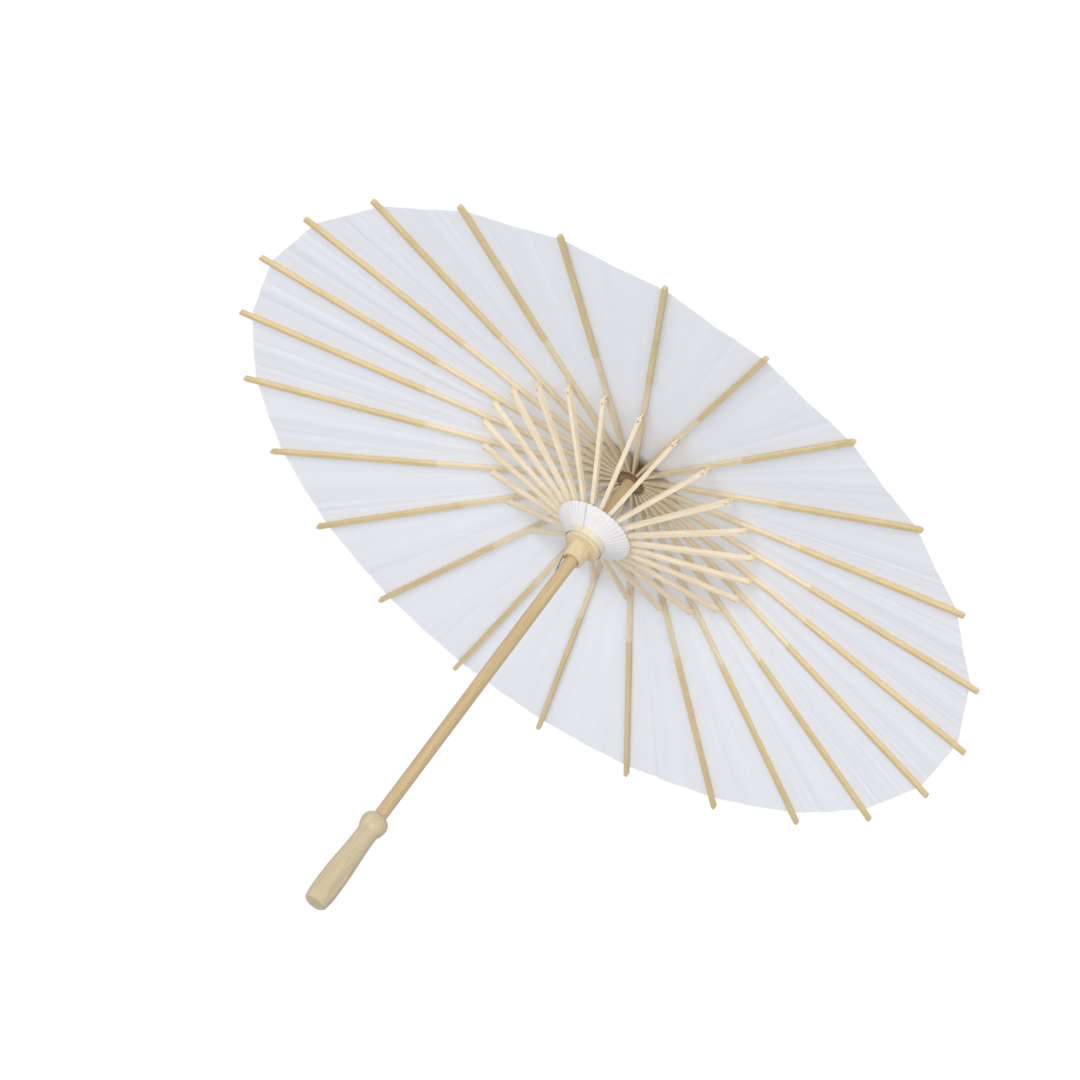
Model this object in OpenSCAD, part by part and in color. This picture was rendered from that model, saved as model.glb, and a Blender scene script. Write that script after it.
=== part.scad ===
// Oil paper umbrella with a folding bamboo frame, drawn open.
// The origin is the centre of the handle's flat end and +Z runs up the shaft. Sizes are in millimetres.

/* [Overall] */
// Number of ribs, each with its own stretcher
rib_count = 24; // [24]
// Radius from the shaft's axis to the rib tips, open
tip_r = 420; // [350:1:505]
// Height that a rib's underside climbs from its tip to the hub
rib_climb = 66.5; // [58:0.5:80]
// Overall height from the handle's end to the top of the head cap
overall_h = 600; // [550:1:720]

/* [Shaft and handle] */
// Diameter of the shaft
shaft_d = 13; // [11:0.1:15.6]
// Length of the handle
handle_len = 108; // [90:1:130]
// Largest diameter of the handle's grip
handle_d = 26; // [23:0.5:32]
// Wood around the shaft at the handle's waist, below its bead
waist_wall = 3.7; // [3:0.1:5]
// Depth of the eight flats that are cut on the grip
flat_cut = 1; // [0.3:0.1:1.3]
// Height of the bead at the handle's top, above the waist
bead_rise = 3; // [2:0.1:4]
// Depth of the shaft's socket in the handle
socket_depth = 70; // [40:1:85]

/* [Ribs] */
// Full width of a rib
rib_w = 4.7; // [3.9:0.1:5.6]
// Depth of a rib
rib_h = 4.5; // [3.6:0.1:5.5]
// Depth of the pared flat between the joint and the outer section
pare = 0.5; // [0.2:0.1:1]
// Distance from the joint to the outer end of the pared flat
pare_run = 68; // [30:1:100]

/* [Linkage] */
// Radius of the pivot rings in the hub and the runner
pivot_r = 18.5; // [15.5:0.1:21]
// Height of the hub's pivot ring above the ribs' underside there
hub_pivot_rise = 6.4; // [6:0.1:6.6]
// Radius of the joint between a rib and its stretcher, open
joint_r = 153; // [140:1:165]
// Distance of that joint below the rib's underside
joint_drop = 5.5; // [5:0.1:6.5]
// Radius of the pivot rings' wire
wire_r = 0.5; // [0.4:0.05:0.55]
// Radius of the pin in each rib's joint
pin_r = 0.6; // [0.5:0.05:0.7]

/* [Stretchers] */
// Full width of a stretcher
str_w = 4.2; // [3.9:0.1:4.6]
// Width of a stretcher's inner end, in the runner's slot
str_tongue_w = 2.4; // [2:0.1:2.5]
// Depth of a stretcher
str_h = 4.2; // [3.6:0.1:4.8]
// Thickness of the fin below each rib, which the stretcher's fork holds
fin_t = 1.6; // [1.2:0.1:1.8]

/* [Hub] */
// Wood outside the pivot ring, at the hub's slotted rim
hub_rim_wall = 2.1; // [1.8:0.1:2.7]

/* [Runner] */
// Distance from the runner's pivot ring down to its bottom edge
runner_drop = 47.4; // [44:0.1:52]
// Wood around the shaft at the runner's neck
neck_wall = 4.5; // [3.5:0.1:5.5]
// Wood outside the pivot ring, at the runner's slotted head
head_wall = 1.1; // [0.9:0.1:1.5]

/* [Paper] */
// Length of a rib's tip that stands past the paper
tip_bare = 11; // [5:1:20]
// Thickness of the oiled paper
paper_t = 0.4; // [0.3:0.05:0.6]
// Rim radius of the paper collar on the runner
collar_r = 41; // [34:0.5:43]
// Length of the head cap's petals
petal_len = 32; // [24:1:40]

/* [Clearances] */
// Space on each side of a rib's or stretcher's end in its slot
slot_gap = 0.2; // [0.15:0.01:0.25]
// Space between two ribs' full widths with the umbrella closed
rib_side_gap = 1; // [0.8:0.1:1.5]
// Space around the shaft inside the runner
runner_gap = 0.3; // [0.25:0.05:0.5]
// Radial space around a pivot's wire or pin
pivot_gap = 0.1; // [0.08:0.01:0.15]
// Space between the paper and the moving frame under it
paper_gap = 0.35; // [0.3:0.05:0.6]

/* [Hidden] */
function two(n) = str(n < 10 ? "0" : "", n);
RIBS = [for (i = [1:rib_count]) str("rib_", two(i))];
STRETCHERS = [for (i = [1:rib_count]) str("stretcher_", two(i))];
$fn = 64;
eps = 0.01;
step = 360 / rib_count;

// Handle and runner, around the shaft
waist_d = shaft_d + 2 * waist_wall;
bead_d = waist_d + 2 * bead_rise;
handle_flats = handle_d - 2 * flat_cut;
neck_r = shaft_d / 2 + neck_wall;

// Rib line: the underside runs straight from the hub to the tip
tip_z = overall_h - rib_climb - 40;
canopy_r = tip_r - tip_bare;
pare_r = joint_r + pare_run;
slope = rib_climb / (tip_r - pivot_r);
tilt = atan(slope);
rib_top = rib_h / cos(tilt);
function under_z(r) = tip_z + (tip_r - r) * slope;

// Pivots, as [radius, height]. The hub's and the runner's ring have one radius, and each rib's
// inner length equals its stretcher's, so the runner keeps to the shaft's axis as it slides.
hub_pivot = [pivot_r, under_z(pivot_r) + hub_pivot_rise];
joint_pivot = [joint_r, under_z(joint_r) - joint_drop];
run_pivot = [pivot_r, 2 * joint_pivot[1] - hub_pivot[1]];
tongue_end = 3.2;
str_end = 3;
fork_end = 2;

// Hub
hub_disc_r = pivot_r - 1.5;
hub_rim_r = pivot_r + hub_rim_wall;
hub_z = under_z(pivot_r) - 0.6;
slot_in = pivot_r - hub_pivot_rise - 0.6;
hub_core_r = slot_in - 0.1;
rib_tongue_w = slot_in * step * PI / 180 - 2 * slot_gap - 0.01;
roof_z = hub_pivot[1] + tongue_end + 1;
roof_t = 2.6;
hub_top = roof_z + roof_t;
core_top = overall_h - 10;

// Runner
run_slot_in = pivot_r - str_end - 0.4;
head_r = pivot_r + head_wall;
bar_in = [pivot_r + 5.5, run_pivot[1] - 6.9];
bar_out = joint_pivot + [0, 2];
bar_slope = (bar_out[1] - bar_in[1]) / (bar_out[0] - bar_in[0]);
function bar_z(r) = bar_in[1] + (r - bar_in[0]) * bar_slope;
bar_half = str_h / 2 / cos(atan(bar_slope));
hook_in = pivot_r - 2.4;
hook_z = bar_z(hook_in) - bar_half;
run_floor = hook_z - 2;
runner_bottom = run_pivot[1] - runner_drop;
flange_z = runner_bottom + 21;
head_top = run_pivot[1] + str_end + 0.6;
band_top = flange_z + 7.5;
band_r = head_r + 0.7;
bore_r = shaft_d / 2 + runner_gap;
collar_rim_z = bar_z(collar_r) - bar_half - 2;

// Latch spring, in a slit of the shaft just below the runner
latch_az = -30;
latch_wire_r = 0.5;
latch_top = runner_bottom - 0.9;
latch_out = shaft_d / 2 + 3.6;
latch_low = [shaft_d / 2 - 2, latch_top - 29];
slit_w = 1.6;
latch_pin_r = 0.6;
latch_pin_len = 6;

// Canopy
flat_r = 60;
cap_r = hub_rim_r - 3.1;
cap_z = hub_top + 3;
cap_top_r = hub_core_r - 0.4;

// A closed rib hangs at this angle below the horizontal. Its full width starts where there is room for it.
closed_at = tilt + 73.3;
full_w_r = pivot_r + cos(tilt) / cos(closed_at) * (
    (rib_w + rib_side_gap) / (2 * tan(step / 2)) - pivot_r + hub_pivot_rise * cos(tilt) * sin(closed_at));

// Places a part drawn at azimuth 0 on spoke i, counted from 1
module spoke(i) {
    rotate([0, 0, (i - 1) * step]) children();
}

// Extrudes a side view, drawn as [radius, height], to width w about the spoke's plane
module blade(w) {
    rotate([90, 0, 0]) linear_extrude(height = w, center = true) children();
}

// A cylinder across the spoke at a pivot
module cross_pin(p, r, w) {
    translate([p[0], 0, p[1]]) rotate([90, 0, 0]) cylinder(r = r, h = w, center = true, $fn = 32);
}

// A ring of wire through every slot at a pivot's radius and height
module ring_wire(p, r) {
    rotate_extrude($fn = 96) translate(p) circle(r = r, $fn = 24);
}

// Cuts one radial slot per rib
module slots(inner, outer, low, high, w) {
    for (i = [1:rib_count])
        spoke(i) translate([inner, -w / 2, low]) cube([outer - inner, w, high - low]);
}

module shaft() {
    color("burlywood") difference() {
        translate([0, 0, handle_len - socket_depth])
            cylinder(d = shaft_d, h = core_top + 4 - handle_len + socket_depth);
        rotate([0, 0, latch_az])
            translate([-3, -slit_w / 2, latch_low[1] - 2])
                cube([shaft_d, slit_w, latch_top - latch_low[1] + 3.5]);
        rotate([0, 0, latch_az]) cross_pin(latch_low, latch_pin_r + 0.05, latch_pin_len + 0.4);
    }
}

// Grip, waist and bead, up one side of the axis
module handle_profile() {
    bead_z = handle_len - 20;
    bead_line = [
        [0, 0], [0.1, 1.6], [0.4, 3.2], [0.66, 5], [0.83, 7], [0.94, 9], [1, 10.7], [1, 12.3],
        [0.93, 13.9], [0.78, 15.4], [0.5, 16.8], [0.1, 18.1], [-0.35, 19.3], [-0.8, 20]];
    polygon(concat(
        [[0, 0], [handle_d * 0.37, 0], [handle_d * 0.43, 1.6]],
        [for (t = [0.1:0.1:1]) [handle_d * 0.43 + handle_d * 0.07 * sin(90 * t), 1.6 + 18.4 * t]],
        [for (t = [0.1:0.1:1]) [
            (handle_d + waist_d) / 4 + (handle_d - waist_d) / 4 * cos(180 * t),
            20 + (handle_len - 40) * t]],
        [for (p = bead_line) if (p[1] > 0) [waist_d / 2 + bead_rise * p[0], bead_z + p[1]]],
        [[0, handle_len]]));
}

module handle() {
    color("wheat") difference() {
        intersection() {
            rotate_extrude() handle_profile();
            union() {
                rotate([0, 0, 22.5])
                    linear_extrude(height = handle_len - 30) circle(d = handle_flats / cos(22.5), $fn = 8);
                translate([0, 0, handle_len - 30]) cylinder(d = bead_d + 10, h = 31);
            }
        }
        translate([0, 0, handle_len - socket_depth]) cylinder(d = shaft_d, h = socket_depth + 1);
    }
}

module top_notch() {
    color("sienna") difference() {
        rotate_extrude() difference() {
            polygon([
                [shaft_d / 2, hub_z], [hub_disc_r - 0.6, hub_z], [hub_disc_r, hub_z + 0.6],
                [hub_disc_r, hub_z + 3], [hub_rim_r, hub_z + 4.2], [hub_rim_r, hub_top - 0.6],
                [hub_rim_r - 0.6, hub_top], [hub_core_r, hub_top], [hub_core_r, core_top - 1.5],
                [hub_core_r - 1.5, core_top], [shaft_d / 2, core_top]]);
            translate(hub_pivot) circle(r = wire_r, $fn = 24);
        }
        slots(slot_in, hub_rim_r + 5, hub_z - 1, roof_z, rib_tongue_w + 2 * slot_gap);
    }
}

module hub_wire() {
    color("dimgray") ring_wire(hub_pivot, wire_r);
}

// A rib's side view: a round inner end, a straight bar and a pared flat beyond the joint
module rib_side() {
    inner = pivot_r - 3;
    difference() {
        union() {
            translate(hub_pivot) circle(r = tongue_end, $fn = 48);
            polygon([
                [inner, under_z(inner)], [tip_r, tip_z], [tip_r, tip_z + rib_top],
                [flat_r, under_z(flat_r) + rib_top], hub_pivot + [0.7, tongue_end - 0.08],
                hub_pivot - [tongue_end, 0]]);
        }
        polygon([
            [joint_r + 12, under_z(joint_r + 12) - eps], [joint_r + 15, under_z(joint_r + 15) + pare],
            [pare_r, under_z(pare_r) + pare], [pare_r, under_z(pare_r) - 1],
            [joint_r + 12, under_z(joint_r + 12) - 1]]);
    }
}

// A rib's plan: a narrow tongue in the hub, widening to the full width
module rib_plan() {
    for (s = [0, 1]) mirror([0, s]) polygon([
        [pivot_r - 8, -eps], [pivot_r - 8, rib_tongue_w / 2], [pivot_r + 10.2, rib_tongue_w / 2],
        [full_w_r, rib_w / 2], [tip_r - 2, rib_w / 2], [tip_r, rib_w / 2 - 1.2], [tip_r, -eps]]);
}

// A rib with the fin that its stretcher's fork holds, and the pin through both
module rib(i) {
    fin_top = under_z(joint_r) + 1;
    color("tan") spoke(i) {
        difference() {
            union() {
                intersection() {
                    blade(rib_w + 2) rib_side();
                    linear_extrude(height = overall_h) rib_plan();
                }
                blade(fin_t) union() {
                    translate(joint_pivot) circle(r = fork_end, $fn = 48);
                    polygon([
                        joint_pivot - [fork_end, 0], joint_pivot + [fork_end, 0],
                        [joint_r + 4, fin_top], [joint_r - 4, fin_top]]);
                }
            }
            cross_pin(hub_pivot, wire_r + pivot_gap + 0.05, rib_w + 4);
            cross_pin(joint_pivot, pin_r, rib_w + 4);
        }
        cross_pin(joint_pivot, pin_r, str_w + 0.6);
    }
}

// A stretcher's side view: a straight bar whose inner end turns up to the runner's ring
module stretcher_side() {
    union() {
        translate(run_pivot) circle(r = str_end, $fn = 48);
        translate(joint_pivot) circle(r = fork_end, $fn = 48);
        polygon([
            run_pivot + [-2.4, 0], [hook_in, hook_z + 3], [hook_in + 3, bar_z(hook_in + 3) - bar_half],
            joint_pivot + [-6, -fork_end + 0.4 - 6 * bar_slope], joint_pivot + [0, -fork_end],
            joint_pivot + [fork_end, 0], bar_out + [0.6, bar_half - 1.6], bar_out + [-1.4, bar_half - 0.8],
            [bar_in[0] + 4, bar_z(bar_in[0] + 4) + bar_half], [bar_in[0], bar_z(bar_in[0]) + bar_half + 1.4],
            run_pivot + [2.9, 0]]);
    }
}

module stretcher(i) {
    neck = bar_in[0] - 2.3;
    color("navajowhite") spoke(i) difference() {
        intersection() {
            blade(str_w) stretcher_side();
            linear_extrude(height = overall_h) union() {
                translate([0, -str_tongue_w / 2]) square([joint_r, str_tongue_w]);
                translate([neck, -str_w / 2]) square([joint_r, str_w]);
            }
        }
        cross_pin(run_pivot, wire_r + pivot_gap + 0.05, str_w + 4);
        cross_pin(joint_pivot, pin_r + pivot_gap, str_w + 4);
        translate([joint_r - fork_end - 1.3, -fin_t / 2 - slot_gap, joint_pivot[1] - 12])
            cube([20, fin_t + 2 * slot_gap, 24]);
    }
}

module runner() {
    color("tan") difference() {
        rotate_extrude() difference() {
            polygon([
                [bore_r + 0.8, runner_bottom], [neck_r - 0.5, runner_bottom], [neck_r, runner_bottom + 0.5],
                [neck_r + 0.5, flange_z - 5], [neck_r + 2.5, flange_z - 4.2], [head_r - 1.4, flange_z - 3.4],
                [head_r - 0.4, flange_z - 2.4], [head_r, flange_z], [head_r, head_top - 0.8],
                [head_r - 0.8, head_top], [bore_r, head_top], [bore_r, runner_bottom + 0.8]]);
            translate(run_pivot) circle(r = wire_r, $fn = 24);
        }
        slots(run_slot_in, head_r + 5, run_floor, head_top + 1, str_tongue_w + 2 * slot_gap);
    }
}

module runner_wire() {
    color("dimgray") ring_wire(run_pivot, wire_r);
}

// The paper collar: a band round the runner's head and a cone under the stretchers
module runner_collar() {
    color("white") rotate_extrude($fn = 96) polygon([
        [head_r, flange_z], [band_r, flange_z], [band_r, band_top], [collar_r, collar_rim_z],
        [collar_r - 0.3, collar_rim_z + paper_t], [head_r, band_top + 0.7]]);
}

// One bent wire: from its root in the slit out to the peak, and back into the slit
module latch_spring() {
    peak = [latch_out - latch_wire_r, latch_top - 1.2];
    tail = [shaft_d / 2 - 4, latch_top - 0.5];
    color("dimgray") rotate([0, 0, latch_az]) {
        wire_between(latch_low, peak);
        wire_between(peak, tail);
        cross_pin(latch_low, latch_pin_r, latch_pin_len);
    }
}

module wire_between(a, b) {
    run = b - a;
    for (p = [a, b]) translate([p[0], 0, p[1]]) sphere(r = latch_wire_r, $fn = 24);
    translate([a[0], 0, a[1]])
        rotate([0, atan2(run[0], run[1]), 0])
            cylinder(r = latch_wire_r, h = norm(run), $fn = 24);
}

// The canopy's lower line, just above the ribs, from the hub to the rim
canopy_line = [
    [hub_core_r + 0.4, hub_top + 0.3], [hub_rim_r, hub_top + 0.3],
    [flat_r, under_z(flat_r) + rib_top + paper_gap],
    [tip_r, tip_z + rib_top + paper_gap]];

// A thin sheet of revolution above a line
module paper_cone(line, lift, t) {
    n = len(line) - 1;
    rotate_extrude($fn = 96) polygon(concat(
        [for (p = line) p + [0, lift]], [for (i = [n:-1:0]) line[i] + [0, lift + t]]));
}

module canopy() {
    color("aliceblue") intersection() {
        paper_cone(canopy_line, 0, paper_t);
        linear_extrude(height = overall_h)
            polygon([for (i = [0:rib_count - 1]) canopy_r * [cos(i * step), sin(i * step)]]);
    }
}

module cap_petals() {
    tips = cap_r + petal_len;
    color("white") intersection() {
        paper_cone(canopy_line, paper_t + 0.3, 0.3);
        difference() {
            linear_extrude(height = overall_h) polygon([for (i = [0:2 * rib_count - 1])
                (i % 2 == 0 ? tips : cap_r + 14) * [cos((i + 1) * step / 2), sin((i + 1) * step / 2)]]);
            cylinder(r = hub_core_r + 1, h = overall_h + 1);
        }
    }
}

module head_cap() {
    color("white") rotate_extrude() polygon([
        [cap_r - 0.6, hub_top + 1.3], [cap_r, hub_top + 1.3], [cap_r + 0.4, cap_z - 1], [cap_r, cap_z],
        [cap_r - 0.6, cap_z + 4], [cap_top_r + 1.8, overall_h - 4], [cap_top_r, overall_h - 1],
        [cap_top_r - 1.5, overall_h], [0, overall_h], [0, overall_h - 0.8], [cap_top_r - 1.8, overall_h - 0.8],
        [cap_top_r - 0.7, overall_h - 1.6], [cap_top_r + 1, overall_h - 4.4], [cap_r - 1.4, cap_z + 3.6],
        [cap_r - 0.8, cap_z]]);
}

module cap_tie() {
    color("ivory") rotate_extrude($fn = 96) for (k = [0, 1])
        translate([cap_r + 0.9, cap_z - 0.6 + 1.2 * k]) circle(r = 0.6, $fn = 24);
}

shaft();
handle();
top_notch();
hub_wire();
canopy();
head_cap();
cap_petals();
cap_tie();
runner();
runner_wire();
runner_collar();
latch_spring();
for (i = [1:rib_count]) rib(i);
for (i = [1:rib_count]) stretcher(i);
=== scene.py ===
import math
import random

import bpy
from mathutils import Euler, Matrix, Vector


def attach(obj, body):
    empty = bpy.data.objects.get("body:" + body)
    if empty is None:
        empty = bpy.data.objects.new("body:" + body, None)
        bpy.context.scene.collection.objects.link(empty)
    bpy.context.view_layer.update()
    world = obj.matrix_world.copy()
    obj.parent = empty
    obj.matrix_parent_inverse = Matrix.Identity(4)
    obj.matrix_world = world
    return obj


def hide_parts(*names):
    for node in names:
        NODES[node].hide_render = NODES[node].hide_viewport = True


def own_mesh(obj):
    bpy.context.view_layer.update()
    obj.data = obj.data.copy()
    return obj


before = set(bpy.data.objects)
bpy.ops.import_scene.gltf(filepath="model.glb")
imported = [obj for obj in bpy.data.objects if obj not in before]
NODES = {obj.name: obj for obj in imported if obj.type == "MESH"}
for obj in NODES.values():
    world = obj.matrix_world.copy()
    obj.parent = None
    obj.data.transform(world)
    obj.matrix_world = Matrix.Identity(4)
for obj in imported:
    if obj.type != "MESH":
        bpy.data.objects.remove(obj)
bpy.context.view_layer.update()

COUNT = 24
GORE_SEED, COLLAR_SEED = 410, 77
STEP = 2 * math.pi / COUNT
HALF = STEP / 2

# The canopy's lower line above the ribs, as (radius, height)
FLAT_R = 0.060  # the paper runs straight from here to the rim
RIM_R = 0.409
CROWN_R = (0.0118, 0.0206)  # the canopy's middle, round the hub
PAPER_LINE = [(CROWN_R[1], 0.5735), (FLAT_R, 0.55804), (0.420, 0.49841)]
PAPER_T = 0.0004
STRIP_HALF = 0.0026  # half the width of the paper that is glued on a rib

# The petals of the head cap lie on the canopy: radii of their inner edge, valleys and tips
PETAL_IN, PETAL_VALLEY, PETAL_TIP = 0.0172, 0.0315, 0.0495
PETAL_LIFT = 0.00075
PETAL_T = 0.0003

# The runner's paper collar: the band's lower and upper edge, then the cone to the rim
COLLAR_LINE = [(0.0203, 0.471646), (0.0203, 0.479146), (0.0410, 0.49264)]
COLLAR_PLEATS = 2  # on one stretcher's share
COLLAR_SEAM = 1  # this share laps over the next one, as the glued seam
COLLAR_LAP = 0.0007

# The head cap's outer line, from its skirt to its flat top
CAP_LINE = [
    (0.0171, 0.57460), (0.0177, 0.57500), (0.0173, 0.57620), (0.0177, 0.57760), (0.0172, 0.58050),
    (0.0160, 0.58560), (0.0146, 0.59080), (0.0131, 0.59540), (0.0119, 0.59800), (0.0104, 0.59960),
    (0.0080, 0.60000), (0.0040, 0.60000)]
CAP_WALL, CAP_DROP = 0.0005, 0.0004  # from the cap's outer face to its inner one, inwards and down
TIE_R, TIE_Z = 0.0181, 0.57620
TIE_PITCH, THREAD_R = 0.00055, 0.00048
KNOT_AT = math.radians(52)


# ---------------------------------------------------------------- materials

def srgb(r, g, b):
    """A linear colour from three 0-255 values."""
    shares = [v / 255 for v in (r, g, b)]
    return tuple(v / 12.92 if v <= 0.04045 else ((v + 0.055) / 1.055) ** 2.4 for v in shares) + (1.0,)


class Shader:
    """A new Principled material, with short calls that add its nodes."""

    def __init__(self, name, roughness, **sockets):
        self.material = bpy.data.materials.new(name)
        self.material.use_nodes = True
        self.tree = self.material.node_tree
        self.bsdf = self.tree.nodes["Principled BSDF"]
        self.bsdf.inputs["Roughness"].default_value = roughness
        for key, value in sockets.items():
            self.bsdf.inputs[key.replace("_", " ")].default_value = value

    def node(self, kind, inputs=(), **settings):
        made = self.tree.nodes.new(kind)
        for key, value in settings.items():
            setattr(made, key, value)
        for key, value in dict(inputs).items():
            if isinstance(value, bpy.types.NodeSocket):
                self.tree.links.new(value, made.inputs[key])
            else:
                made.inputs[key].default_value = value
        return made

    def math(self, operation, a, b=0.0, c=0.0):
        return self.node("ShaderNodeMath", {0: a, 1: b, 2: c}, operation=operation).outputs[0]

    def place(self):
        return self.node("ShaderNodeTexCoord").outputs["Object"]

    def split(self, vector):
        return self.node("ShaderNodeSeparateXYZ", {0: vector}).outputs

    def join(self, x, y, z):
        return self.node("ShaderNodeCombineXYZ", {0: x, 1: y, 2: z}).outputs[0]

    def scaled(self, vector, scale):
        return self.node("ShaderNodeVectorMath", {0: vector, 1: scale}, operation="MULTIPLY").outputs[0]

    def noise(self, vector, scale, detail=2.0, roughness=0.5, distortion=0.0, w=None):
        sockets = {"Vector": vector, "Scale": scale, "Detail": detail,
                   "Roughness": roughness, "Distortion": distortion}
        if w is not None:
            sockets["W"] = w
        return self.node("ShaderNodeTexNoise", sockets,
                         noise_dimensions="3D" if w is None else "4D").outputs["Fac"]

    def ramp(self, factor, *stops):
        made = self.node("ShaderNodeValToRGB", {0: factor})
        band = made.color_ramp
        while len(band.elements) < len(stops):
            band.elements.new(0.5)
        for element, (position, colour) in zip(band.elements, stops):
            element.position = position
            element.color = colour
        return made.outputs[0]

    def blend(self, factor, a, b, mode="MIX"):
        return self.node("ShaderNodeMix", {0: factor, 6: a, 7: b}, data_type="RGBA",
                         blend_type=mode).outputs[2]

    def level(self, value, low, high, to_low=0.0, to_high=1.0):
        sockets = {0: value, 1: low, 2: high, 3: to_low, 4: to_high}
        return self.node("ShaderNodeMapRange", sockets).outputs[0]

    def colour(self, socket):
        self.tree.links.new(socket, self.bsdf.inputs["Base Color"])

    def rough(self, socket):
        self.tree.links.new(socket, self.bsdf.inputs["Roughness"])

    def bump(self, height, distance, strength=1.0):
        sockets = {"Strength": strength, "Distance": distance, "Height": height}
        made = self.node("ShaderNodeBump", sockets)
        self.tree.links.new(made.outputs[0], self.bsdf.inputs["Normal"])

    def spoke(self):
        """Along a spoke, across it, height, and a number that differs from spoke to spoke."""
        x, y, z = self.split(self.place())
        across = self.math("ARCTAN2", y, x)
        turn = self.math("WRAP", across, HALF, -HALF)
        squares = self.math("ADD", self.math("MULTIPLY", x, x), self.math("MULTIPLY", y, y))
        radius = self.math("SQRT", squares)
        seed = self.math("MULTIPLY", self.math("SUBTRACT", across, turn), 3.7)
        return radius, self.math("MULTIPLY", radius, turn), z, seed


def grey(v):
    return (v, v, v, 1.0)


def bamboo(name, dark, mid, light, zones):
    """Split bamboo: long fibres along the spoke, a slow drift of tone, and tones by radius."""
    m = Shader(name, 0.5, Specular_IOR_Level=0.4)
    radius, across, z, seed = m.spoke()
    fibres = m.noise(m.scaled(m.join(radius, across, z), (26, 2600, 2600)), 1.0, 3.0, 0.6, w=seed)
    drift = m.noise(m.scaled(m.join(radius, across, z), (14, 120, 120)), 1.0, 2.0, w=seed)
    tone = m.math("ADD", m.math("MULTIPLY", fibres, 0.6), m.math("MULTIPLY", drift, 0.4))
    base = m.ramp(tone, (0.30, dark), (0.50, mid), (0.72, light))
    share = m.math("DIVIDE", radius, 0.44)
    base = m.blend(1.0, base, m.ramp(share, *zones), "MULTIPLY")
    m.colour(base)
    m.rough(m.level(fibres, 0.3, 0.7, 0.56, 0.42))
    m.bump(fibres, 0.00012, 0.6)
    return m.material


def turned_wood(name, dark, mid, light, grain=(260, 260, 9), roughness=0.48, pores=0.35):
    """Wood with its grain along the shaft's axis: bands, fine fibres and short dark pores."""
    m = Shader(name, roughness, Specular_IOR_Level=0.35)
    place = m.place()
    bands = m.noise(m.scaled(place, grain), 1.0, 4.0, 0.62, 0.8)
    fibres = m.noise(m.scaled(place, (1500, 1500, 36)), 1.0, 2.0, 0.5)
    pore = m.level(m.noise(m.scaled(place, (1100, 1100, 95)), 1.0, 1.0), 0.66, 0.74)
    tone = m.math("ADD", m.math("MULTIPLY", bands, 0.62), m.math("MULTIPLY", fibres, 0.38))
    base = m.ramp(tone, (0.32, dark), (0.50, mid), (0.68, light))
    m.colour(m.blend(m.math("MULTIPLY", pore, pores), base, dark))
    m.rough(m.level(fibres, 0.3, 0.7, roughness + 0.08, roughness - 0.06))
    m.bump(m.math("SUBTRACT", fibres, pore), 0.00015, 0.5)
    return m.material


def oiled_paper(name, body, warm):
    """Thin oiled paper: felted fibres, soft mottling, faint folds along the spokes, with painted shade
    along the folds in its colour.
    """
    m = Shader(name, 0.5, Specular_IOR_Level=0.32)
    place = m.place()
    radius = m.spoke()[0]
    mottle = m.noise(place, 38.0, 4.0, 0.6, 0.4)
    felt = m.noise(place, 900.0, 3.0, 0.65)
    x, y, _ = m.split(place)
    turn = m.math("MULTIPLY", m.math("ARCTAN2", y, x), 34.0)
    folds = m.noise(m.join(m.math("MULTIPLY", radius, 7.0), turn, 0.0), 1.0, 3.0, 0.55, 0.3)
    base = m.blend(m.level(mottle, 0.35, 0.75, 0.0, 0.55), body, warm)
    # Painted shade: the colour darkens a little along the folds, and the felt's own fibre tone is added to
    # it.
    fold_shade_and_felt = m.math("ADD", m.level(folds, 0.3, 0.7, 0.982, 1.006), m.level(felt, 0.3, 0.7, -0.012, 0.012))
    m.colour(m.blend(1.0, base, m.join(fold_shade_and_felt, fold_shade_and_felt, fold_shade_and_felt), "MULTIPLY"))
    m.rough(m.level(mottle, 0.3, 0.7, 0.44, 0.58))
    m.bump(m.math("ADD", folds, m.math("MULTIPLY", felt, 0.25)), 0.0004, 0.25)
    return m.material


def folded_paper(name, body, warm, band=None):
    """Heavier white paper of the collar and the cap, with a fine felt.

    A band is (tone, height), and colours the paper below that height.
    """
    m = Shader(name, 0.62, Specular_IOR_Level=0.25)
    place = m.place()
    mottle = m.noise(place, 120.0, 4.0, 0.6, 0.5)
    felt = m.noise(place, 1700.0, 3.0, 0.6)
    base = m.blend(m.level(mottle, 0.35, 0.7, 0.0, 0.6), body, warm)
    if band:
        tone, height = band
        base = m.blend(m.level(m.split(place)[2], height - 0.0001, height + 0.0001), tone, base)
    m.colour(base)
    m.rough(m.level(felt, 0.3, 0.7, 0.56, 0.68))
    m.bump(felt, 0.00012, 0.5)
    return m.material


def steel(name, tone, roughness):
    """Drawn wire: fine lines and a little dull film."""
    m = Shader(name, roughness, Metallic=1.0)
    drawn = m.noise(m.scaled(m.place(), (700, 700, 700)), 1.0, 3.0, 0.6)
    m.colour(m.ramp(drawn, (0.3, grey(tone * 0.6)), (0.7, grey(tone))))
    m.rough(m.level(drawn, 0.3, 0.7, roughness - 0.08, roughness + 0.12))
    m.bump(drawn, 0.00003, 0.4)
    return m.material


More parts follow.
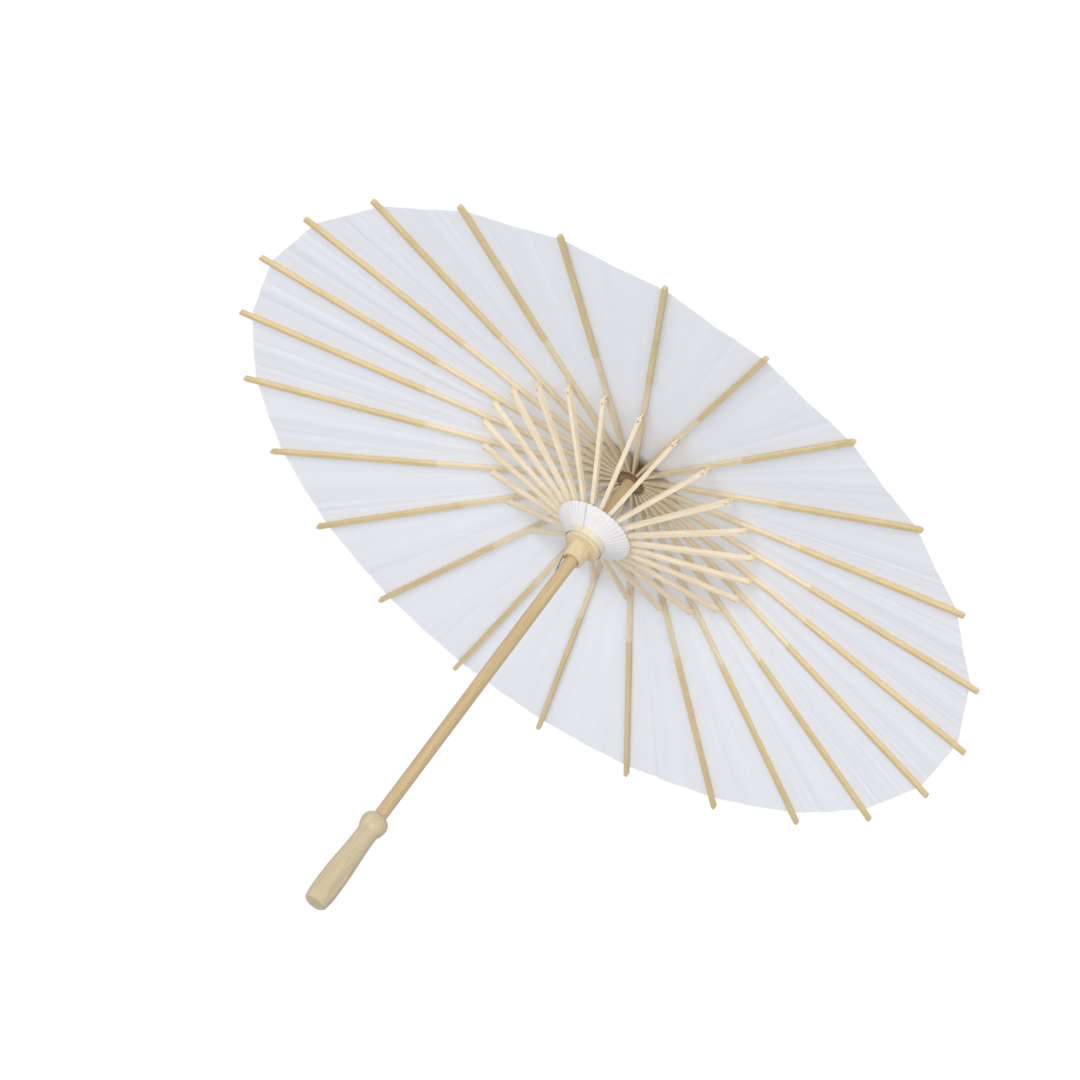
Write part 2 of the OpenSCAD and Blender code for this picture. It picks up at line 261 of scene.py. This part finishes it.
def thread(name):
    """White cotton thread: twist ridges across a soft fibre, with painted shade in the grooves between
    them.
    """
    m = Shader(name, 0.85, Sheen_Weight=0.25)
    x, y, z = m.split(m.place())
    turn = m.math("MULTIPLY", m.math("ARCTAN2", y, x), 150.0)
    ply = m.math("SINE", m.math("ADD", turn, m.math("MULTIPLY", z, 5200.0)))
    # Painted shade: the colour is darker in the grooves of the twist and lighter on its ridges, following
    # the bump.
    m.colour(m.ramp(m.level(ply, -1.0, 1.0), (0.0, srgb(196, 192, 180)), (1.0, srgb(238, 236, 228))))
    m.bump(ply, 0.0002, 0.6)
    return m.material


def stage_paint(name, colour):
    m = Shader(name, 0.8)
    fleck = m.noise(m.place(), 3.0, 3.0)
    m.colour(m.blend(m.level(fleck, 0.3, 0.7), colour, tuple(c * 0.985 for c in colour[:3]) + (1.0,)))
    return m.material


def make_materials():
    rib_zones = [(0.0, grey(0.97)), (0.355, grey(0.97)), (0.375, (1.0, 0.985, 0.96, 1)),
                 (0.500, (1.0, 0.985, 0.96, 1)), (0.505, (0.90, 0.83, 0.67, 1)),
                 (1.0, (0.86, 0.79, 0.61, 1))]
    plain = [(0.0, grey(0.98)), (0.30, grey(1.0)), (1.0, grey(1.0))]
    return {
        "rib_bamboo": bamboo("rib_bamboo", srgb(214, 195, 160), srgb(232, 216, 184),
                             srgb(242, 229, 202), rib_zones),
        "stretcher_bamboo": bamboo("stretcher_bamboo", srgb(223, 205, 172), srgb(240, 225, 197),
                                   srgb(248, 238, 216), plain),
        "shaft_wood": turned_wood("shaft_wood", srgb(187, 159, 118), srgb(202, 176, 135),
                                  srgb(212, 189, 149), pores=0.05),
        "handle_wood": turned_wood("handle_wood", srgb(191, 175, 142), srgb(201, 185, 152),
                                   srgb(208, 193, 161), grain=(150, 150, 9), roughness=0.36, pores=0.12),
        "runner_wood": turned_wood("runner_wood", srgb(207, 187, 148), srgb(220, 202, 164),
                                   srgb(229, 213, 179), grain=(180, 180, 12), pores=0.15),
        "notch_wood": turned_wood("notch_wood", srgb(120, 92, 66), srgb(158, 126, 96),
                                  srgb(180, 148, 116), grain=(200, 200, 30), roughness=0.6),
        "steel_wire": steel("steel_wire", 0.62, 0.35),
        "latch_steel": steel("latch_steel", 0.30, 0.42),
        "oiled_paper": oiled_paper("oiled_paper", srgb(241, 243, 251), srgb(243, 244, 248)),
        "cap_paper": folded_paper("cap_paper", srgb(238, 239, 242), srgb(230, 230, 232)),
        "collar_paper": folded_paper("collar_paper", srgb(231, 229, 230), srgb(226, 222, 219),
                                     (srgb(226, 217, 197), COLLAR_LINE[1][1] + 0.0004)),
        "tie_thread": thread("tie_thread"),
    }


def paint_cad_nodes(materials):
    """Gives each carried-over node the material of its slot."""
    slots = {"shaft": "shaft_wood", "handle": "handle_wood", "top_notch": "notch_wood",
             "hub_wire": "steel_wire", "runner": "runner_wood", "runner_wire": "steel_wire",
             "latch_spring": "latch_steel"}
    for name, obj in NODES.items():
        kind = slots.get(name)
        if name.startswith("rib_"):
            kind = "rib_bamboo"
        elif name.startswith("stretcher_"):
            kind = "stretcher_bamboo"
        if kind:
            obj.data.materials.clear()
            obj.data.materials.append(materials[kind])


# ---------------------------------------------------------------- mesh helpers

def polar(r, angle, z):
    return Vector((r * math.cos(angle), r * math.sin(angle), z))


def along(line, r):
    """Height of a (radius, height) line at radius r."""
    for (r0, z0), (r1, z1) in zip(line, line[1:]):
        if r <= r1:
            break
    return z0 + (r - r0) * (z1 - z0) / (r1 - r0)


def make_mesh(name, points, faces, material, sharp=35):
    mesh = bpy.data.meshes.new(name)
    mesh.from_pydata([tuple(p) for p in points], [], faces)
    mesh.validate()
    mesh.shade_smooth()
    mesh.set_sharp_from_angle(angle=math.radians(sharp))
    mesh.materials.append(material)
    obj = bpy.data.objects.new(name, mesh)
    bpy.context.scene.collection.objects.link(obj)
    return obj


def paper_shell(name, rows, lift, material, sharp=35):
    """A closed thin sheet: rows of points, and the same rows moved by lift."""
    n, m = len(rows), len(rows[0])
    low = [p for row in rows for p in row]
    points = low + [p + lift for p in low]
    top = n * m
    faces = []
    for i in range(n - 1):
        for j in range(m - 1):
            a, b, c, d = i * m + j, (i + 1) * m + j, (i + 1) * m + j + 1, i * m + j + 1
            faces.append((a, d, c, b))
            faces.append((a + top, b + top, c + top, d + top))
    for i in range(n - 1):
        for a, b in ((i * m, (i + 1) * m), ((i + 1) * m + m - 1, i * m + m - 1)):
            faces.append((a, b, b + top, a + top))
    for j in range(m - 1):
        for a, b in ((j + 1, j), ((n - 1) * m + j, (n - 1) * m + j + 1)):
            faces.append((a, b, b + top, a + top))
    obj = make_mesh(name, points, faces, material, sharp)
    return outwards(obj)


def outwards(obj):
    """Turns the faces so that they all look out of the closed mesh."""
    mesh = obj.data
    volume = 0.0
    for face in mesh.polygons:
        v = [mesh.vertices[i].co for i in face.vertices]
        for k in range(1, len(v) - 1):
            volume += v[0].dot(v[k].cross(v[k + 1]))
    if volume < 0:
        mesh.flip_normals()
    return obj


def soft_tent(x, width):
    """1 in the middle, falling smoothly to 0 at width on either side."""
    t = max(0.0, 1.0 - abs(x) / width)
    return t * t * (3 - 2 * t)


# ---------------------------------------------------------------- canopy

def gore_creases(g):
    """The folds left in one gore's paper: its middle fold, and three on each side.

    A side's fold is (share of the half width, width, height at the rim).
    """
    rng = random.Random(GORE_SEED + g)

    def side_folds():
        return [(rng.uniform(0.25, 0.85), rng.uniform(0.05, 0.10), rng.uniform(-0.0005, 0.0007))
                for _ in range(3)]

    return {"middle": rng.uniform(0.0003, 0.0010), 1: side_folds(), -1: side_folds(),
            "drift": rng.uniform(-0.12, 0.12)}


def crease_height(creases, side, share, r):
    """How far the paper stands above its flat gore there. It is nothing along the rib."""
    reach = r / RIM_R
    rise = -creases["middle"] * soft_tent(1 - share, 0.30) * reach
    rise -= 0.0006 * math.sin(math.pi * share / 2) ** 2 * reach
    for where, width, height in creases[side]:
        centre = where + creases["drift"] * (1 - reach)
        rise += height * soft_tent(share - centre, min(width, centre)) * reach ** 1.5
    return rise


def radii():
    """Stations along a rib, closer together near the hub."""
    inner = [CROWN_R[1] + (FLAT_R - CROWN_R[1]) * k / 6 for k in range(6)]
    return inner + [FLAT_R + (RIM_R - FLAT_R) * k / 24 for k in range(25)]


def across_gore(i, side):
    """The level direction from rib i to the next rib on one side."""
    chord = i * STEP + side * (math.pi / 2 + HALF)
    return Vector((math.cos(chord), math.sin(chord), 0))


def half_gore(i, side, materials):
    """The paper from one rib's glued strip to the fold in the middle of a gore."""
    azimuth = i * STEP
    across = across_gore(i, side)
    creases = gore_creases(i if side > 0 else (i - 1) % COUNT)
    rows = []
    for r in radii():
        half = r * math.sin(HALF)
        row = []
        for k in range(21):
            share = k / 20
            reach = STRIP_HALF + (half - STRIP_HALF) * share
            p = polar(r, azimuth, along(PAPER_LINE, r)) + across * reach
            row.append(p + Vector((0, 0, crease_height(creases, side, share, r))))
        rows.append(row)
    name = f"canopy_gore_{i + 1:02d}_{'left' if side > 0 else 'right'}"
    return paper_shell(name, rows, Vector((0, 0, PAPER_T)), materials["oiled_paper"])


def rib_strip(i, materials):
    """The paper glued along a rib."""
    azimuth = i * STEP
    rows = []
    for r in radii():
        centre = polar(r, azimuth, along(PAPER_LINE, r))
        row = []
        for side, share in ((-1, 1.0), (-1, 0.5), (1, 0.0), (1, 0.5), (1, 1.0)):
            row.append(centre + across_gore(i, side) * STRIP_HALF * share)
        rows.append(row)
    name = f"canopy_strip_{i + 1:02d}"
    return paper_shell(name, rows, Vector((0, 0, PAPER_T)), materials["oiled_paper"])


def half_petal(i, side, materials):
    """Half of one petal of the head cap, from its rib's line to its tip's line."""
    azimuth = i * STEP
    across = across_gore(i, side)
    rows = []
    for a in range(11):
        row = []
        for k in range(6):
            share = k / 5
            outer = PETAL_VALLEY + (PETAL_TIP - PETAL_VALLEY) * share
            r = PETAL_IN + (outer - PETAL_IN) * a / 10
            flat = polar(r, azimuth, along(PAPER_LINE, max(r, CROWN_R[1])))
            lift = PETAL_LIFT + 0.0002 * math.sin(math.pi * share)
            row.append(flat + across * r * math.sin(HALF) * share + Vector((0, 0, lift)))
        rows.append(row)
    name = f"cap_petal_{i + 1:02d}_{'left' if side > 0 else 'right'}"
    return paper_shell(name, rows, Vector((0, 0, PETAL_T)), materials["cap_paper"])


def fold_with_rib(piece, i, side):
    """The piece rides its rib, on a mesh of its own."""
    azimuth = i * STEP
    line_in, line_out = (polar(r, azimuth, along(PAPER_LINE, r)) for r in (FLAT_R, RIM_R))
    run = (line_out - line_in).normalized()
    tangent = Vector((-math.sin(azimuth), math.cos(azimuth), 0)) * side
    out = run.cross(tangent) * side
    if out.z < 0:
        out = -out
    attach(piece, f"rib_{i + 1:02d}")
    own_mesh(piece)


def build_canopy(materials):
    for i in range(COUNT):
        strip = rib_strip(i, materials)
        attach(strip, f"rib_{i + 1:02d}")
        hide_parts("canopy")
        for side in (1, -1):
            gore = half_gore(i, side, materials)
            fold_with_rib(gore, i, side)
            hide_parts("canopy")
            petal = half_petal(i, side, materials)
            fold_with_rib(petal, i, side)
            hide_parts("cap_petals")
    build_crown(materials)


def build_crown(materials):
    """The flat middle of the canopy, round the hub and under the cap."""
    rings = [CROWN_R[0] + (CROWN_R[1] - CROWN_R[0]) * a / 3 for a in range(4)]
    rows = [[polar(r, 2 * math.pi * k / 96, PAPER_LINE[0][1]) for k in range(96)] for r in rings]
    crown = ring_shell("canopy_crown", rows, Vector((0, 0, PAPER_T)), materials["oiled_paper"])
    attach(crown, "umbrella_shaft")
    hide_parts("canopy")


def ring_shell(name, rows, lift, material, sharp=35):
    """A closed thin sheet that runs all the way round.

    Its rows of points run round it, one beside the next. lift is one vector, or a list with one
    for each point.
    """
    n, m = len(rows), len(rows[0])
    low = [p for row in rows for p in row]
    lifts = lift if isinstance(lift, list) else [lift] * len(low)
    points = low + [p + d for p, d in zip(low, lifts)]
    top = n * m
    faces = []
    for i in range(n - 1):
        for j in range(m):
            k = (j + 1) % m
            a, b, c, d = i * m + j, (i + 1) * m + j, (i + 1) * m + k, i * m + k
            faces.append((a, d, c, b))
            faces.append((a + top, b + top, c + top, d + top))
    for j in range(m):
        k = (j + 1) % m
        for a, b in ((k, j), ((n - 1) * m + j, (n - 1) * m + k)):
            faces.append((a, b, b + top, a + top))
    return outwards(make_mesh(name, points, faces, material, sharp))


# ---------------------------------------------------------------- head cap and tie

def cap_fold(n):
    """Depth of the cap's pleats at one row of its line, as a share of the radius."""
    if n == len(CAP_LINE) - 1:
        return 0.0
    return 0.055 if 2 < n < 9 else 0.03


def build_cap(materials):
    """The folded paper cap: pleats that gather under the thread and close on a flat top."""
    sides = COUNT * 8
    rows, walls = [], []
    for n, (r, z) in enumerate(CAP_LINE):
        row = []
        for k in range(sides):
            angle = 2 * math.pi * k / sides
            wave = abs(2 * ((angle / STEP) % 1.0) - 1)
            row.append(polar(r * (1 - cap_fold(n) * (1 - wave)), angle + 0.02 * math.sin(n * 1.7), z))
            walls.append(Vector((-math.cos(angle) * CAP_WALL, -math.sin(angle) * CAP_WALL, -CAP_DROP)))
        rows.append(row)
    cap = ring_shell("folded_cap", rows, walls, materials["cap_paper"], sharp=50)
    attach(cap, "umbrella_shaft")
    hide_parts("head_cap")
    top = round_plug("cap_top", 0.0046, 0.59955, 0.60000, materials["cap_paper"])
    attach(top, "umbrella_shaft")
    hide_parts("head_cap")
    tie = build_tie(materials)


def round_plug(name, radius, low, high, material):
    """The small folded knot of paper in the middle of the cap's top."""
    sides = 48
    points, faces = [], []
    rings = [(1.0, low), (1.0, high - 0.0001), (0.85, high), (0.4, high - 0.00012)]
    for share, z in rings:
        points += [polar(radius * share, 2 * math.pi * k / sides, z) for k in range(sides)]
    points += [Vector((0, 0, low)), Vector((0, 0, high - 0.0001))]
    for n in range(len(rings) - 1):
        for k in range(sides):
            j = (k + 1) % sides
            faces.append((n * sides + k, n * sides + j, (n + 1) * sides + j, (n + 1) * sides + k))
    last = (len(rings) - 1) * sides
    for k in range(sides):
        j = (k + 1) % sides
        faces.append((len(points) - 2, j, k))
        faces.append((len(points) - 1, last + k, last + j))
    return outwards(make_mesh(name, points, faces, material))


def ring_tube(path, radius):
    """Points and faces of a round tube along a closed path."""
    points, faces = [], []
    n, sides = len(path), 10
    for i, p in enumerate(path):
        run = (path[(i + 1) % n] - path[i - 1]).normalized()
        side = run.cross(Vector((0, 0, 1)))
        side = side.normalized() if side.length > 1e-6 else Vector((1, 0, 0))
        up = side.cross(run)
        for k in range(sides):
            a = 2 * math.pi * k / sides
            points.append(p + side * radius * math.cos(a) + up * radius * math.sin(a))
    for i in range(n):
        j = (i + 1) % n
        for k in range(sides):
            m = (k + 1) % sides
            faces.append((i * sides + k, i * sides + m, j * sides + m, j * sides + k))
    return points, faces


def tie_turn(dz):
    """The middle line of one turn of the thread, dz above the tie's height."""
    angles = [2 * math.pi * k / 144 for k in range(144)]
    return [polar(TIE_R + 0.00012 * math.sin(7 * a), a, TIE_Z + dz + 0.00018 * math.sin(3 * a + dz * 4000))
            for a in angles]


def tie_knot():
    """The middle line of the small knot beside the turns."""
    centre = polar(TIE_R + 0.0006, KNOT_AT, TIE_Z)
    tangent = Vector((-math.sin(KNOT_AT), math.cos(KNOT_AT), 0))
    out = Vector((math.cos(KNOT_AT), math.sin(KNOT_AT), 0))
    return [centre + tangent * 0.0011 * math.sin(2 * t) + Vector((0, 0, 0.0010 * math.cos(3 * t)))
            + out * 0.0004 * math.sin(3 * t + 1) for t in (2 * math.pi * k / 48 for k in range(48))]


def build_tie(materials):
    """The thread wound twice round the cap, and its small knot."""
    points, faces = [], []
    for path in (tie_turn(-TIE_PITCH), tie_turn(TIE_PITCH), tie_knot()):
        more, sides = ring_tube(path, THREAD_R)
        faces += [tuple(v + len(points) for v in f) for f in sides]
        points += more
    tie = outwards(make_mesh("cap_thread", points, faces, materials["tie_thread"], sharp=80))
    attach(tie, "umbrella_shaft")
    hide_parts("cap_tie")
    return tie


# ---------------------------------------------------------------- runner collar

def collar_profile():
    """The collar's line from the band's lower edge to the rim, with a soft bend."""
    (r0, z0), (r1, z1), (r2, z2) = COLLAR_LINE
    band = [(r0, z0 + (z1 - z0) * k / 4) for k in range(5)]
    cone = [(r1 + (r2 - r1) * k / 10, z1 + (z2 - z1) * k / 10) for k in range(1, 11)]
    return band + cone


def collar_share(i, materials):
    """One stretcher's share of the pleated collar."""
    azimuth = i * STEP
    seam = i == COLLAR_SEAM
    reach = 1.10 if seam else 1.0
    steps = COLLAR_PLEATS * 8
    rng = random.Random(COLLAR_SEED + i)
    heights = [rng.uniform(0.75, 1.2) for _ in range(COLLAR_PLEATS)]
    rows = []
    for r, z in collar_profile():
        cone = max(0.0, (r - COLLAR_LINE[1][0]) / (COLLAR_LINE[2][0] - COLLAR_LINE[1][0]))
        depth = (0.0002 + 0.00045 * cone) * min(1.0, cone * 6)
        row = []
        for k in range(steps + (3 if seam else 0) + 1):
            share = min(k / steps, reach)
            pleat = share * COLLAR_PLEATS
            wave = 1 - abs(2 * (pleat % 1.0) - 1)
            height = heights[min(int(pleat), COLLAR_PLEATS - 1)] * depth
            angle = azimuth + (share - 0.5) * STEP
            over = COLLAR_LAP if seam and share > 0.98 else 0.0
            notch = 0.0008 * wave if cone > 0.99 else 0.0
            under = over if cone > 0 else 0.0
            row.append(polar(r - notch + over, angle, z - height * wave - under))
        rows.append(row)
    return paper_shell(f"collar_{i + 1:02d}", rows, Vector((-0.00012, -0.00012, 0.00028)),
                       materials["collar_paper"], sharp=16)


def build_collar(materials):
    for i in range(COUNT):
        piece = collar_share(i, materials)
        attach(piece, "runner")
        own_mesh(piece)
        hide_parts("runner_collar")


# ---------------------------------------------------------------- stage, light, camera

def build_stage():
    """A wide pale floor well below the umbrella, which hangs in the air."""
    reach, z = 60.0, -1.75
    corners = [Vector((x * reach, y * reach, z)) for x, y in ((-1, -1), (1, -1), (1, 1), (-1, 1))]
    floor = make_mesh("floor", corners, [(0, 1, 2, 3)], stage_paint("floor_paint", srgb(246, 246, 246)))


def area_light(name, place, target, size, watts, colour=(1, 1, 1)):
    data = bpy.data.lights.new(name, "AREA")
    data.shape = "DISK"
    data.size = size
    data.energy = watts
    data.color = colour
    obj = bpy.data.objects.new(name, data)
    obj.location = place
    obj.rotation_euler = (Vector(target) - Vector(place)).to_track_quat("-Z", "Y").to_euler()
    bpy.context.scene.collection.objects.link(obj)


def build_world(ambient):
    """White where the camera looks past the object, softer as light."""
    world = bpy.data.worlds.new("studio")
    bpy.context.scene.world = world
    world.use_nodes = True
    tree = world.node_tree
    out = tree.nodes["World Output"]
    seen = tree.nodes["Background"]
    seen.inputs[0].default_value = (1, 1, 1, 1)
    seen.inputs[1].default_value = 1.0
    light = tree.nodes.new("ShaderNodeBackground")
    light.inputs[0].default_value = (0.97, 0.985, 1.0, 1)
    light.inputs[1].default_value = ambient
    path = tree.nodes.new("ShaderNodeLightPath")
    mix = tree.nodes.new("ShaderNodeMixShader")
    tree.links.new(path.outputs["Is Camera Ray"], mix.inputs[0])
    tree.links.new(light.outputs[0], mix.inputs[1])
    tree.links.new(seen.outputs[0], mix.inputs[2])
    tree.links.new(mix.outputs[0], out.inputs[0])


# The camera stands at this azimuth and elevation from what it looks at, and is rolled about its own axis
CAMERA_AT = Vector((1.8581, 2.7382, -1.4290))
CAMERA_AZIMUTH, CAMERA_ELEVATION, CAMERA_ROLL = (math.radians(a) for a in (56.473, -29.556, 37.194))
CAMERA_AXES = (Euler((math.pi / 2 - CAMERA_ELEVATION, 0, CAMERA_AZIMUTH + math.pi / 2)).to_matrix()
               @ Matrix.Rotation(CAMERA_ROLL, 3, "Z"))


def build_camera():
    """The photograph's viewpoint: below the open umbrella, looking up into it."""
    data = bpy.data.cameras.new("camera")
    data.lens = 130.57
    data.sensor_width = 36.0
    data.clip_start = 0.05
    data.clip_end = 60.0
    camera = bpy.data.objects.new("camera", data)
    camera.matrix_world = Matrix.Translation(CAMERA_AT) @ CAMERA_AXES.to_4x4()
    bpy.context.scene.collection.objects.link(camera)
    bpy.context.scene.camera = camera


def build_lights():
    right, up, back = (CAMERA_AXES.col[k] for k in range(3))
    middle = Vector((0, 0, 0.45))
    area_light("key", middle + back * 3.2 - right * 1.4 + up * 1.4, middle, 1.6, 40, (1.0, 0.99, 0.97))
    area_light("front", middle + back * 3.4 + right * 0.4, middle, 2.6, 40, (1.0, 1.0, 1.0))
    area_light("top", middle + Vector((-0.6, -0.4, 2.4)), middle, 2.4, 22)
    build_world(0.60)


def build():
    materials = make_materials()
    build_camera()
    build_stage()
    build_lights()
    paint_cad_nodes(materials)
    build_canopy(materials)
    build_cap(materials)
    build_collar(materials)
    bpy.context.scene.view_settings.view_transform = "Standard"


build()
